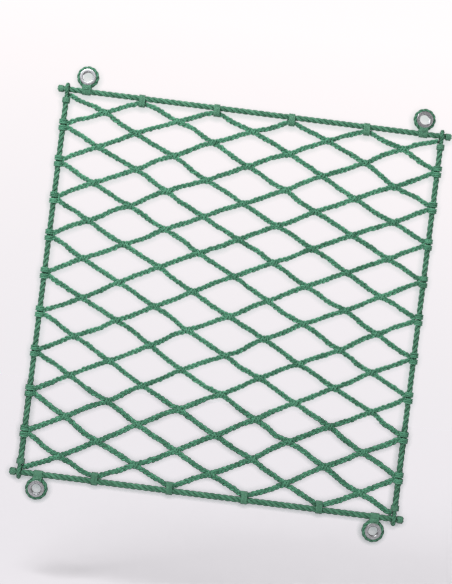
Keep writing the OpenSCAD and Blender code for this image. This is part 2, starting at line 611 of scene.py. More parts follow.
def relief_shading_group() -> bpy.types.NodeTree:
    """Builds the group that lightens what stands out, as wear and painted highlight, and darkens hollows with
    painted shade.

    Returns:
        A group with a mask of crests to lighten, a mask of hollows for painted shade, and a slow drift of
        shade.
    """
    inputs = {"Place": None, "Relief": 0.5, "Wear": 0.5, "Dirt": 0.5, "Drift Scale": 9.0}
    outputs = {"Crest": "NodeSocketFloat", "Hollow": "NodeSocketFloat", "Drift": "NodeSocketFloat"}
    group, tree, take, sink = new_group("relief wear and painted shade", inputs, outputs)
    spot = tree.noise(take["Place"], 160.0, 3.0, 0.6)
    # Crests go light, as wear and painted highlight; hollows go dark, as painted shade.
    crest = tree.sum("MULTIPLY", tree.spread(take["Relief"], 0.7, 1.0), take["Wear"])
    hollow = tree.sum("MULTIPLY", tree.spread(take["Relief"], 0.6, 0.05), take["Dirt"])
    tree.feed(sink.inputs["Crest"], tree.sum("MULTIPLY", crest, tree.spread(spot, 0.3, 0.7), clamp=True))
    tree.feed(sink.inputs["Hollow"], tree.sum("MULTIPLY", hollow, tree.spread(spot, 0.9, 0.35), clamp=True))
    tree.feed(sink.inputs["Drift"], tree.noise(take["Place"], take["Drift Scale"], 2.0, 0.5))
    return group


def brushed_group() -> bpy.types.NodeTree:
    """Builds the group that draws turned brushing lines and fine scratches on metal.

    Returns:
        A group with a mask of brushing, a mask of scratches and a height.
    """
    inputs = {"Lay": None, "Place": None, "Line Scale": 2600.0, "Scratches": 0.5}
    outputs = {"Brush": "NodeSocketFloat", "Scratch": "NodeSocketFloat", "Height": "NodeSocketFloat"}
    group, tree, take, sink = new_group("turned brushing", inputs, outputs)
    lines = tree.noise(tree.stretched(take["Lay"], (0.06, 0.06, 1.0)), take["Line Scale"], 2.0, 0.6)
    cuts = tree.noise(tree.stretched(take["Place"], (1.0, 0.15, 1.0)), 700.0, 4.0, 0.7)
    scratch = tree.sum("MULTIPLY", tree.spread(cuts, 0.62, 0.7), take["Scratches"])
    tree.feed(sink.inputs["Brush"], lines)
    tree.feed(sink.inputs["Scratch"], scratch)
    tree.feed(sink.inputs["Height"], tree.sum("SUBTRACT", lines, scratch))
    return group


class Effects:
    """The shared node groups, each built once."""

    def __init__(self) -> None:
        """Builds every group."""
        self.filament = filament_group()
        self.fluff = fluff_group()
        self.relief_shading = relief_shading_group()
        self.brushed = brushed_group()


# ------------------------------------------------------------------ finishes


@dataclass(frozen=True)
class FibreFinish:
    """Dyed polypropylene fibre, in a cord, a rope or twine.

    Attributes:
        name: Name of the material.
        deep: Colour of the darkest yarn, and the painted shade in the hollows between strands and the grooves
            between yarns.
        body: Colour of most of the surface.
        lit: Colour of filaments that catch the light.
        fleck: Colour of stray filaments.
        yarns: Number of yarns that show round a strand.
        groove: Depth of shade between the yarns.
        filament_scale: Fineness of the filaments.
        relief: Distance that the bump stands up.
        roughness: Middle roughness.
        sheen: Weight of the soft sheen.
        lint: Amount of lint and broken filaments.
        dirt: How far the hollows between strands go to the deep colour, as painted shade.
        wear: How far what stands out goes to the lit colour, as wear and as painted highlight.
    """

    name: str
    deep: tuple[float, float, float, float]
    body: tuple[float, float, float, float]
    lit: tuple[float, float, float, float]
    fleck: tuple[float, float, float, float]
    yarns: float = 5.0
    groove: float = 0.5
    filament_scale: float = 900.0
    relief: float = 0.4 * MM
    roughness: float = 0.62
    sheen: float = 0.25
    lint: float = 0.35
    dirt: float = 1.0
    wear: float = 0.5

    def make(self, effects: Effects) -> bpy.types.Material:
        """Makes the material.

        Args:
            effects: Shared node groups.

        Returns:
            The new material.
        """
        material, tree, shader = new_material(self.name)
        lay, tint, crest = (
            tree.put("ShaderNodeAttribute", attribute_name=name).outputs[out]
            for name, out in (("lay", "Vector"), ("tint", "Fac"), ("crest", "Fac"))
        )
        place = tree.put("ShaderNodeTexCoord").outputs["Object"]
        yarns = {
            "Lay": lay,
            "Yarns": self.yarns,
            "Groove": self.groove,
            "Filament Scale": self.filament_scale,
            "Filament": 0.9,
        }
        thread = tree.put("ShaderNodeGroup", yarns, node_tree=effects.filament).outputs
        lint = {"Place": place, "Amount": self.lint}
        fluff = tree.put("ShaderNodeGroup", lint, node_tree=effects.fluff).outputs
        relief_shading = {"Place": place, "Relief": crest, "Dirt": self.dirt, "Wear": self.wear}
        wear = tree.put("ShaderNodeGroup", relief_shading, node_tree=effects.relief_shading).outputs
        shade = tree.sum("ADD", thread["Shade"], tree.swing(tint, 0.55))
        shade = tree.sum("ADD", shade, tree.swing(wear["Drift"], 0.35))
        # Low shade and the hollows go to the deep colour, as painted shade; high shade and the crests go to
        # the lit colour, as painted highlight and, on crests, wear. The shade also holds random tone, and
        # lint is the fibre's own.
        colour = tree.blend(tree.spread(shade, 0.12, 0.55), self.deep, self.body)
        for share, other in (
            (tree.spread(shade, 0.55, 1.0), self.lit),
            (wear["Hollow"], self.deep),
            (tree.sum("MULTIPLY", wear["Crest"], 0.5), self.lit),
            (tree.sum("MULTIPLY", fluff["Lint"], 0.55), self.fleck),
        ):
            colour = tree.blend(share, colour, other)
        height = tree.sum("ADD", thread["Height"], tree.sum("MULTIPLY", fluff["Height"], 0.8))
        bump = tree.put("ShaderNodeBump", {"Height": height, "Strength": 0.8, "Distance": self.relief})
        for key, value in (
            ("Base Color", colour),
            ("Roughness", tree.spread(shade, 0.2, 0.9, self.roughness + 0.16, self.roughness - 0.1)),
            ("Sheen Weight", self.sheen),
            ("Sheen Roughness", 0.45),
            ("Specular IOR Level", 0.35),
            ("Normal", bump.outputs[0]),
        ):
            tree.feed(shader.inputs[key], value)
        return material


@dataclass(frozen=True)
class SteelFinish:
    """Satin stainless steel, turned and brushed.

    Attributes:
        name: Name of the material.
        base: Colour of clean metal.
        dull: Colour in the brushing lines, and painted shade in the hollows.
        roughness: Middle roughness.
    """

    name: str
    base: tuple[float, float, float, float]
    dull: tuple[float, float, float, float]
    roughness: float = 0.3

    def make(self, effects: Effects) -> bpy.types.Material:
        """Makes the material.

        Args:
            effects: Shared node groups.

        Returns:
            The new material.
        """
        material, tree, shader = new_material(self.name)
        lay = tree.put("ShaderNodeAttribute", attribute_name="lay").outputs["Vector"]
        place = tree.put("ShaderNodeTexCoord").outputs["Object"]
        brush = tree.put("ShaderNodeGroup", {"Lay": lay, "Place": place}, node_tree=effects.brushed).outputs
        # Hollows found by pointiness take the dull colour: painted shade.
        relief = tree.spread(tree.put("ShaderNodeNewGeometry").outputs["Pointiness"], 0.42, 0.58)
        relief_shading = {"Place": place, "Relief": relief}
        wear = tree.put("ShaderNodeGroup", relief_shading, node_tree=effects.relief_shading).outputs
        colour = tree.blend(tree.spread(brush["Brush"], 0.35, 0.65), self.dull, self.base)
        rough = tree.spread(brush["Brush"], 0.3, 0.7, self.roughness + 0.12, self.roughness - 0.06)
        grain = {"Height": brush["Height"], "Strength": 0.25, "Distance": 0.05 * MM}
        bump = tree.put("ShaderNodeBump", grain)
        for key, value in (
            ("Base Color", tree.blend(wear["Hollow"], colour, self.dull)),
            ("Metallic", 1.0),
            ("Roughness", tree.sum("ADD", rough, tree.sum("MULTIPLY", brush["Scratch"], 0.2))),
            ("Normal", bump.outputs[0]),
        ):
            tree.feed(shader.inputs[key], value)
        return material


KNIT_CORD = FibreFinish(
    "knit_cord_green",
    deep=(0.008, 0.060, 0.030, 1),
    body=(0.055, 0.222, 0.134, 1),
    lit=(0.118, 0.372, 0.228, 1),
    fleck=(0.165, 0.440, 0.170, 1),
    yarns=5.0,
    sheen=0.12,
    dirt=0.7,
)
LAID_ROPE = FibreFinish(
    "laid_rope_green",
    deep=(0.011, 0.060, 0.032, 1),
    body=(0.044, 0.178, 0.104, 1),
    lit=(0.115, 0.320, 0.200, 1),
    fleck=(0.155, 0.360, 0.165, 1),
    sheen=0.12,
    yarns=9.0,
    groove=0.6,
    filament_scale=700.0,
    relief=0.6 * MM,
)
WAXED_TWINE = FibreFinish(
    "waxed_twine_green",
    deep=(0.018, 0.082, 0.047, 1),
    body=(0.062, 0.208, 0.128, 1),
    lit=(0.145, 0.350, 0.230, 1),
    fleck=(0.185, 0.390, 0.225, 1),
    yarns=3.0,
    groove=0.8,
    filament_scale=1300.0,
    relief=0.25 * MM,
    roughness=0.5,
    sheen=0.1,
    lint=0.2,
)
THIMBLE_STEEL = SteelFinish("thimble_steel", base=(0.50, 0.51, 0.53, 1), dull=(0.27, 0.28, 0.30, 1))


class Finishes:
    """All the materials of the net."""

    def __init__(self) -> None:
        """Makes each material once."""
        effects = Effects()
        self.cord = KNIT_CORD.make(effects)
        self.rope = LAID_ROPE.make(effects)
        self.twine = WAXED_TWINE.make(effects)
        self.steel = THIMBLE_STEEL.make(effects)


# ------------------------------------------------------------------ the plan of the net


class NetPlan:
    """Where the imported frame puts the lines, columns, ropes and eyes."""

    def __init__(self, packed: dict) -> None:
        """Reads the places from the frame.
        """
        hinges = sorted((j["pos_m"][2] for j in packed["joints"]), reverse=True)
        self.line_z: list[float] = [float(z) for z in hinges]
        self.rows: int = len(self.line_z) - 1
        low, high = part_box("side_ropes_02")
        self.rope_r: float = (high.y - low.y) / 2
        self.side_x: float = high.x - self.rope_r
        self.columns: int = 10
        low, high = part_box("head_rope")
        self.rope_end: float = high.x
        low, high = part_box("hanging_thimbles")
        self.flange_r: float = (high.z - low.z) / 2
        self.eye_x: float = high.x - self.flange_r
        self.eye_lift: float = (low.z + high.z) / 2 - self.line_z[0]
        self.thimble_half: float = high.y
        low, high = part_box("hanging_beckets")
        self.becket_out: float = (high.z - low.z) / 2
        self.becket_r: float = high.y
        self.bore_r: float = packed["record"]["mounts"][0]["dims"]["r_mm"] * MM

    def column_x(self, column: int) -> float:
        """Gives the place of a column of junctions."""
        return (2 * column / self.columns - 1) * self.side_x

    def on_line(self, column: int, line: int) -> bool:
        """Tells whether a column has a junction on a line."""
        return (column + line) % 2 == 0

    def edge_line(self, edge: Edge) -> int:
        """Gives the line of the head or the foot rope."""
        return 0 if edge is Edge.HEAD else self.rows


@dataclass
class Drape:
    """How the netting hangs off its regular lattice, as slack knitted mesh does.

    Attributes:
        plan: Places from the frame.
        scatter: Spread of the junctions along the row, and up and down.
        fan: How much the rows lean apart towards the head and the foot.
        bow: Spread of the sideways bow of each leg.
        seed: Seed of the draws.
    """

    plan: NetPlan
    scatter: tuple[float, float] = (3.6 * MM, 1.5 * MM)
    fan: float = 0.016
    bow: float = 1.7 * MM
    seed: int = 20
    shift: np.ndarray = field(init=False)

    def __post_init__(self) -> None:
        """Draws the shift of every junction."""
        draws = np.random.default_rng(self.seed)
        shape = (self.plan.rows + 1, self.plan.columns + 1, 2)
        self.shift = np.clip(draws.normal(0.0, 1.0, shape), -2, 2) * np.array(self.scatter)

    def at(self, column: int, line: int) -> tuple[float, float]:
        """Gives the shift of one junction.

        Args:
            column: Column of the junction.
            line: Line of the junction.

        Returns:
            Its shift along X and along Z. Junctions on the border don't shift.
        """
        plan = self.plan
        if column in (0, plan.columns) or line in (0, plan.rows):
            return 0.0, 0.0
        across = plan.column_x(column) / plan.side_x
        height = plan.line_z[line] / plan.line_z[0]
        lean = -self.fan * plan.column_x(column) * height * (1 - across**4) * (1 - height**6)
        return float(self.shift[line, column, 0]), float(self.shift[line, column, 1]) + lean


# ------------------------------------------------------------------ knitted rows


@dataclass
class KnitRow:
    """One row of netting: a plaited cord that runs from side rope to side rope in a zigzag.

    Attributes:
        plan: Places from the frame.
        drape: Shifts of the junctions.
        row: Number of the row, from 1 at the head.
        strand_r: Radius of each of the three strands.
        strand_spread: Spread and limit of the share by which a strand's girth wanders.
        core_r: Radius of the core that they are knitted round.
        core_shade: Shade of the core, which lies deep.
        sway: Reach of a strand to each side of the cord.
        sway_spread: Spread and limit of the share by which the reach wanders.
        dip: Reach of a strand to the front and back.
        lead: Length of cord in which the plait repeats.
        knot_step: Length of cord from one draw of its unevenness to the next.
        corner_lift: Distance of a corner from its line of junctions.
        lashed_lift: Distance of a corner from the rope that it is lashed to.
        rounding: Share of a leg in which its corner is rounded.
        stitch_r: Radius of the strand of a junction's stitches.
        sides: Sides of a strand's section.
        rings: Rings per lead.
        depth: Distances from the cord's middle at which a strand lies deep and stands out, for its painted
            shade and highlight.
    """

    plan: NetPlan
    drape: Drape
    row: int
    strand_r: float = 2.2 * MM
    strand_spread: tuple[float, float] = (0.1, 0.18)
    core_r: float = 3.0 * MM
    # core_shade: Shade of the core, which lies deep, and so takes painted shade as in a hollow.
    core_shade: float = 0.35
    sway: float = 4.05 * MM
    sway_spread: tuple[float, float] = (0.17, 0.3)
    dip: float = 2.1 * MM
    lead: float = 31.0 * MM
    knot_step: float = 8 * MM
    corner_lift: float = 2.3 * MM
    lashed_lift: float = 11.55 * MM
    rounding: float = 0.1
    stitch_r: float = 1.75 * MM
    sides: int = 8
    rings: int = 20
    depth: tuple[float, float] = (2.4 * MM, 5.0 * MM)

    def corner(self, column: int) -> tuple[np.ndarray, int]:
        """Finds the corner of the cord in one column.

        Args:
            column: Number of the column.

        Returns:
            The corner's place and the line that it lies at.
        """
        plan = self.plan
        lower = plan.on_line(column, self.row)
        line = self.row if lower else self.row - 1
        edge = line in (0, plan.rows)
        lift = (self.lashed_lift if edge else self.corner_lift) * (1 if lower else -1)
        dx, dz = self.drape.at(column, line)
        depth = 0.0 if edge or column in (0, plan.columns) else 1.0 * MM * (1 if lower else -1)
        return np.array([plan.column_x(column) + dx, depth, plan.line_z[line] + lift + dz]), line

    def centreline(self, draws: np.random.Generator) -> np.ndarray:
        """Lays the cord from corner to corner.

        Args:
            draws: Source of the small bows of each leg.

        Returns:
            Points of the centreline at even steps.
        """
        plan = self.plan
        fine = np.linspace(0, 1, 97)
        slope = np.tanh(fine / self.rounding) * np.tanh((1 - fine) / self.rounding)
        climb = np.concatenate([[0.0], np.cumsum((slope[1:] + slope[:-1]) / 2)])
        climb /= climb[-1]
        legs = []
        for column in range(plan.columns):
            start, _ = self.corner(column)
            stop, _ = self.corner(column + 1)
            at = fine[:, None]
            leg = start + (stop - start) * np.hstack([at, at, climb[:, None]])
            bow, wave, out = draws.normal(0.0, self.drape.bow, 3)
            hump = np.sin(math.pi * fine) ** 2
            leg[:, 2] += np.clip(bow, -3.5 * MM, 3.5 * MM) * hump + 0.6 * wave * np.sin(TAU * fine) * hump
            leg[:, 1] += 0.7 * out * hump
            legs.append(leg if column == 0 else leg[1:])
        path = np.vstack(legs)
        inset = plan.rope_r + 0.5 * MM
        path[:, 0] = np.clip(path[:, 0], inset - plan.side_x, plan.side_x - inset)
        keep = np.concatenate([[True], np.diff(path[:, 0]) > 1e-7])
        path = path[keep]
        run = run_of(path)
        even = np.linspace(0, run[-1], int(run[-1] / self.lead * self.rings))
        return np.column_stack([np.interp(even, run, path[:, i]) for i in range(3)])

    def plait(self, path: np.ndarray, draws: np.random.Generator) -> list[Skin]:
        """Plaits three strands along a centreline.

        Args:
            path: Points of the centreline.
            draws: Source of the unevenness of the strands.

        Returns:
            The core and the three strands.
        """
        side = unit(np.cross(Y_AXIS, tangents(path, False)))
        run = run_of(path)
        knots = np.linspace(0, run[-1], max(4, int(run[-1] / self.knot_step)))
        core = sweep(path[::3], self.core_r, self.sides, Y_AXIS, CORD_TWIST, tint=self.core_shade)
        # The core counts as deep, so it takes the painted shade of a hollow.
        core.crest[:] = self.core_shade
        skins = [core]

        def wander(middle: float, spread: float, low: float, high: float) -> np.ndarray:
            """Draws a value at each knot, holds it in a range and eases it along the cord."""
            return np.interp(run, knots, np.clip(draws.normal(middle, spread, len(knots)), low, high))

        first = draws.uniform(0, TAU)
        drift = wander(0, 0.25, -math.inf, math.inf)
        for strand in range(3):
            phase = TAU * run / self.lead + first + TAU * strand / 3 + drift
            spread, limit = self.sway_spread
            sway = self.sway * (1 + wander(0, spread, -limit, limit))
            dip = self.dip * np.sin(2 * phase)
            line = path + side * (sway * np.sin(phase))[:, None] + Y_AXIS * dip[:, None]
            spread, limit = self.strand_spread
            girth = self.strand_r * (1 + wander(0, spread, -limit, limit))
            tint = wander(0.47, 0.3, 0, 1)
            skins.append(
                sweep(line, girth, self.sides, Y_AXIS, CORD_TWIST, tint=tint, core=path, depth=self.depth)
            )
        return skins

    def stitches(self, column: int, draws: np.random.Generator) -> list[Skin]:
        """Knits the stitches that join this row to the next one.

        Args:
            column: Column of the junction.
            draws: Source of the unevenness of the stitches.

        Returns:
            The strands of the stitches.
        """
        dx, dz = self.drape.at(column, self.row)
        centre = np.array([self.plan.column_x(column) + dx, 0.0, self.plan.line_z[self.row] + dz])
        turn = np.linspace(0, TAU, 20, endpoint=False)
        skins = []
        for step, lean in ((-3.4 * MM, 0.5), (0.6 * MM, -0.55), (4.0 * MM, 0.45)):
            reach = (6.1 + draws.normal(0, 0.25)) * MM
            deep = (4.9 + draws.normal(0, 0.2)) * MM
            loop = np.stack(
                [
                    step + lean * reach * 0.8 * np.sin(turn) + draws.normal(0, 0.3) * MM,
                    deep * np.cos(turn),
                    reach * np.sin(turn) * (1 - 0.08 * np.cos(2 * turn)),
                ],
                axis=-1,
            )
            girth = self.stitch_r * (1 + 0.12 * np.sin(turn + draws.uniform(0, 6)))
            shade = one_shade(draws, 0.42)
            skins.append(sweep(centre + loop, girth, 8, X_AXIS, STITCH_TWIST, closed=True, tint=shade))
        return skins

    def selvedge(self, draws: np.random.Generator) -> list[Skin]:
        """Winds the ends of the row round the side ropes.

        Args:
            draws: Source of the unevenness of the turns.

        Returns:
            The strands of the turns.
        """
        plan = self.plan
        if self.row in (1, plan.rows):
            return []
        below = self.row % 2 == 0
        line = self.row if below else self.row - 1
        away = 1 if below else -1
        skins = []
        turn = np.linspace(0, TAU, 28, endpoint=False)
        for side in BOTH_SIDES:
            for turn_no in range(3):
                level = plan.line_z[line] + away * (3.6 + 3.9 * turn_no) * MM
                lean = draws.normal(0, 0.35) * MM
                reach = plan.rope_r + self.stitch_r * (0.92 + 0.05 * np.sin(3 * turn + draws.uniform(0, 6)))
                x = side * plan.side_x + reach * np.cos(turn)
                loop = np.stack([x, reach * np.sin(turn), level + lean * np.sin(turn)], axis=-1)
                shade = one_shade(draws, 0.5)
                girth = self.stitch_r * 1.12
                skins.append(sweep(loop, girth, 8, Z_AXIS, STITCH_TWIST, closed=True, tint=shade))
        return skins

    def build(self, finishes: Finishes) -> bpy.types.Object:
        """Makes the row's piece and fixes it to its body.

        Args:
            finishes: Materials of the net.

        Returns:
            The piece.
        """
        plan = self.plan
        draws = np.random.default_rng(100 + self.row)
        bench = Bench(f"netting_row_{self.row:02d}")
        bench.add(*self.plait(self.centreline(draws), draws))
        if self.row < plan.rows:
            for column in range(1, plan.columns):
                if plan.on_line(column, self.row):
                    bench.add(*self.stitches(column, draws))
        bench.add(*self.selvedge(draws))
        piece = bench.make(finishes.cord)
        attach(piece, f"row_{self.row:02d}")
        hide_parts(f"mesh_cord_{self.row:02d}")
        return piece


# ------------------------------------------------------------------ laid ropes


@dataclass(frozen=True)
class RopeLay:
    """Three strands laid up into a rope.

    Attributes:
        radius: Radius of the rope over its strands.
        lead: Length of rope in which a strand goes round once.
        lay: Hand of the rope.
        sides: Sides of a strand's section.
        rings: Rings per lead.
    """

    radius: float
    lead: float
    lay: Lay = Lay.Z_LAID
    sides: int = 12
    rings: int = 22

    def strand_r(self) -> float:
        """Radius of a strand, a little fuller than three free circles would be."""
        return self.radius * 0.49

    def strands(
        self, path: np.ndarray, axes: tuple[np.ndarray, np.ndarray], run: np.ndarray, share: np.ndarray,
        twist: float, tints: list, start: float = 0.0, closed: bool = False, ends: bool = True,
    ) -> list[Skin]:
        """Winds the three strands round a centreline.

        Args:
            path: Points of the centreline.
            axes: Two directions square to the path, from which the strands' turn is counted.
            run: Length of rope up to each point.
            share: Share of the rope's radius at each point.
            twist: Turns of the yarns per metre of strand.
            tints: Shade of each strand.
            start: Length of rope before the first point.
            closed: Whether the rope joins its own start.
            ends: Whether its strands end rounded.

        Returns:
            The three strands.
        """
        first, second = axes
        depth = (ROPE_DEPTH[0] * self.radius, ROPE_DEPTH[1] * self.radius)
        skins = []
        for strand, tint in enumerate(tints):
            angle = self.lay.value * TAU * run / self.lead + TAU * strand / 3
            out = first * np.cos(angle)[:, None] + second * np.sin(angle)[:, None]
            centre = path + out * ((self.radius - self.strand_r()) * share)[:, None]
            girth = self.strand_r() * share
            skins.append(sweep(centre, girth, self.sides, out, twist, closed, ends, tint, start, path, depth))
        return skins

    def along(
        self, path: np.ndarray, across: np.ndarray, start: float = 0.0, ends: bool = False,
        girth: np.ndarray | float = 1.0,
    ) -> list[Skin]:
        """Lays the rope along an open centreline.

        Args:
            path: Points of the centreline.
            across: A direction, or one per point, that is nowhere along the path.
            start: Length of rope before the first point, which sets the strands' turn.
            ends: Whether its strands end rounded.
            girth: Share of the rope's radius, or one share per point.

        Returns:
            The three strands.
        """
        axes = cross_axes(tangents(path, False), across)
        run = run_of(path) + start
        share = np.broadcast_to(np.asarray(girth, float), (len(path),))
        tints = [0.5 + 0.16 * np.sin(run * TAU / 0.37 + 2.1 * strand) for strand in range(3)]
        return self.strands(path, axes, run, share, -self.lay.value * ROPE_TWIST, tints, start, ends=ends)

    def straight(
        self, a: np.ndarray, b: np.ndarray, start: float, across: np.ndarray, ends: bool = False,
    ) -> list[Skin]:
        """Lays the rope straight from one point to another.

        Args:
            a: Start of the rope.
            b: End of the rope.
            start: Length of rope before its start.
            across: A direction that is not along it.
            ends: Whether its strands end rounded.

        Returns:
            The three strands.
        """
        length = float(np.linalg.norm(b - a))
        count = max(4, int(round(length / self.lead * self.rings))) + 1
        at = np.linspace(0, 1, count)[:, None]
        return self.along(a + (b - a) * at, across, start, ends=ends)


@dataclass
class SideRopes:
    """The rope down each side of the net, in lengths that cross the hinge lines.

    Attributes:
        plan: Places from the frame.
        lead: Length in which a strand goes round once.
        eye_rope_r: Radius of the rope where it is opened out into its end eye.
        throat: Height of the splice below the end eye.
        bend: Share of a row on each side of a hinge line; not used.
    """

    plan: NetPlan
    lead: float = 45.0 * MM
    eye_rope_r: float = 4.7 * MM
    throat: float = 31.0 * MM
    bend: float = 0.3

    def rope(self) -> RopeLay:
        """Lay of the side rope."""
        return RopeLay(self.plan.rope_r, self.lead)

    def middle(self, row: int) -> float:
        """Height of the middle of a row."""
        return (self.plan.line_z[row - 1] + self.plan.line_z[row]) / 2

    def run_at(self, z: float) -> float:
        """Length of rope above a height, which keeps the lay in step from piece to piece."""
        return self.plan.line_z[0] - z

    def across_line(self, line: int, finishes: Finishes) -> bpy.types.Object:
        """Makes the lengths that cross one hinge line.

        Args:
            line: Number of the line.
            finishes: Materials of the net.

        Returns:
            The piece, with the left and the right length.
        """
        plan = self.plan
        top, bottom = self.middle(line), self.middle(line + 1)
        bench = Bench(f"side_ropes_line_{line:02d}")
        for side in BOTH_SIDES:
            a = np.array([side * plan.side_x, 0, top])
            b = np.array([side * plan.side_x, 0, bottom])
            bench.add(*self.rope().straight(a, b, self.run_at(top), X_AXIS))
        piece = bench.make(finishes.rope)
        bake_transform(piece)
        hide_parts(f"side_ropes_{line:02d}")
        return piece

    def end_eye(self, side: int, edge: Edge) -> list[Skin]:
        """Opens a side rope out into the eye round the head or the foot rope.

        Args:
            side: -1 for the left rope, 1 for the right.
            edge: The rope that the eye goes round.

        Returns:
            The strands of the eye, from one side of its throat to the other.
        """
        plan = self.plan
        line = plan.line_z[plan.edge_line(edge)]
        ring = plan.rope_r + self.eye_rope_r * 0.96
        rope = RopeLay(self.eye_rope_r, 26.0 * MM, rings=18, sides=10)
        turn = np.linspace(-0.78 * math.pi, 0.78 * math.pi, 72)
        round_part = np.column_stack([ring * np.sin(turn), ring * np.cos(turn)])
        leg = np.linspace(0, 1, 14)[:, None]
        foot = np.array([1.6 * MM, -self.throat])
        far_foot = foot * (-1, 1)
        up = (far_foot + (round_part[0] - far_foot) * leg)[:-1]
        down = round_part[-1] + (foot - round_part[-1]) * leg[1:]
        smooth = np.vstack([up, round_part, down])
        for _ in range(10):
            smooth[1:-1] = (smooth[:-2] + 2 * smooth[1:-1] + smooth[2:]) / 4
        path = np.column_stack(
            [np.full(len(smooth), side * plan.side_x), smooth[:, 0], line + edge.value * smooth[:, 1]]
        )
        taper = np.interp(np.abs(smooth[:, 1] + self.throat), [0, 14 * MM], [0.8, 1.0])
        return rope.along(path, X_AXIS, girth=taper, ends=True)

    def end_length(self, edge: Edge, finishes: Finishes) -> bpy.types.Object:
        """Makes the last lengths of side rope with their spliced eyes.

        Args:
            edge: Head or foot.
            finishes: Materials of the net.

        Returns:
            The piece, with the left and the right eye.
        """
        plan = self.plan
        row = 1 if edge is Edge.HEAD else plan.rows
        line = plan.line_z[plan.edge_line(edge)]
        near = line - edge.value * 24.0 * MM
        far = self.middle(row)
        bench = Bench(f"side_rope_eyes_{edge.name.lower()}")
        for side in BOTH_SIDES:
            top, bottom = max(near, far), min(near, far)
            a = np.array([side * plan.side_x, 0, top])
            b = np.array([side * plan.side_x, 0, bottom])
            bench.add(*self.rope().straight(a, b, self.run_at(top), X_AXIS))
            bench.add(*self.end_eye(side, edge))
        piece = bench.make(finishes.rope)
        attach(piece, f"row_{row:02d}")
        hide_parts(f"side_ropes_{row:02d}")
        return piece

    def throat_wrap(self, edge: Edge, finishes: Finishes) -> bpy.types.Object:
        """Whips the throat of each spliced eye.

        Args:
            edge: Head or foot.
            finishes: Materials of the net.

        Returns:
            The piece.
        """
        plan = self.plan
        row = 1 if edge is Edge.HEAD else plan.rows
        line = plan.line_z[plan.edge_line(edge)]
        bench = Bench(f"splice_whipping_{edge.name.lower()}")
        reach = plan.rope_r + 1.6 * MM
        for side in BOTH_SIDES:
            centre = np.array([side * plan.side_x, 0, line - edge.value * 26.0 * MM])
            bench.add(wound_turns(centre, Z_AXIS, reach, reach, 0.9 * MM, 7, 11 + side))
        piece = bench.make(finishes.twine)
        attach(piece, f"row_{row:02d}")
        return piece

    def build(self, finishes: Finishes) -> list[bpy.types.Object]:
        """Makes every length of side rope.

        Args:
            finishes: Materials of the net.

        Returns:
            The pieces, from the head to the foot.
        """
        pieces = [self.end_length(Edge.HEAD, finishes), self.throat_wrap(Edge.HEAD, finishes)]
        pieces += [self.across_line(line, finishes) for line in range(1, self.plan.rows)]
        pieces += [self.end_length(Edge.FOOT, finishes), self.throat_wrap(Edge.FOOT, finishes)]
        return pieces


def wound_turns(
    centre: np.ndarray, axis: np.ndarray, half_a: float, half_b: float, twine_r: float, turns: int,
    seed: int, offset: float = 0.0,
) -> Skin:
    """Winds twine in touching turns round something.

    Args:
        centre: Middle of the winding.
        axis: Direction that the winding grows in, along X, Y or Z.
        half_a: Reach of the twine's centre across the first of the other two axes.
        half_b: Reach of the twine's centre across the second.
        twine_r: Radius of the twine.
        turns: Number of turns.
        seed: Seed of its unevenness.
        offset: Half the length of a straight part between two round halves, along the second.

    Returns:
        The twine, as one strand.
    """
    draws = np.random.default_rng(seed)
    turn = np.linspace(0, TAU * turns, turns * 30)
    lift = (turn / TAU - turns / 2) * (TURN_PITCH * twine_r)
    waver = np.interp(turn, np.linspace(0, turn[-1], turns * 4), draws.normal(0, 0.06 * twine_r, turns * 4))
    cos, sin = np.cos(turn), np.sin(turn)
    a = (half_a + waver) * cos
    b = (half_b + waver) * sin + offset * np.tanh(6 * sin)
    path = centre + np.outer(lift, axis) + np.outer(a, np.roll(axis, 1)) + np.outer(b, np.roll(axis, 2))
    shades = np.clip(draws.normal(0.5, 0.12, turns * 3), 0, 1)
    tint = np.interp(turn, np.linspace(0, turn[-1], turns * 3), shades)
    return sweep(path, twine_r, 8, axis, TWINE_TWIST, tint=tint)


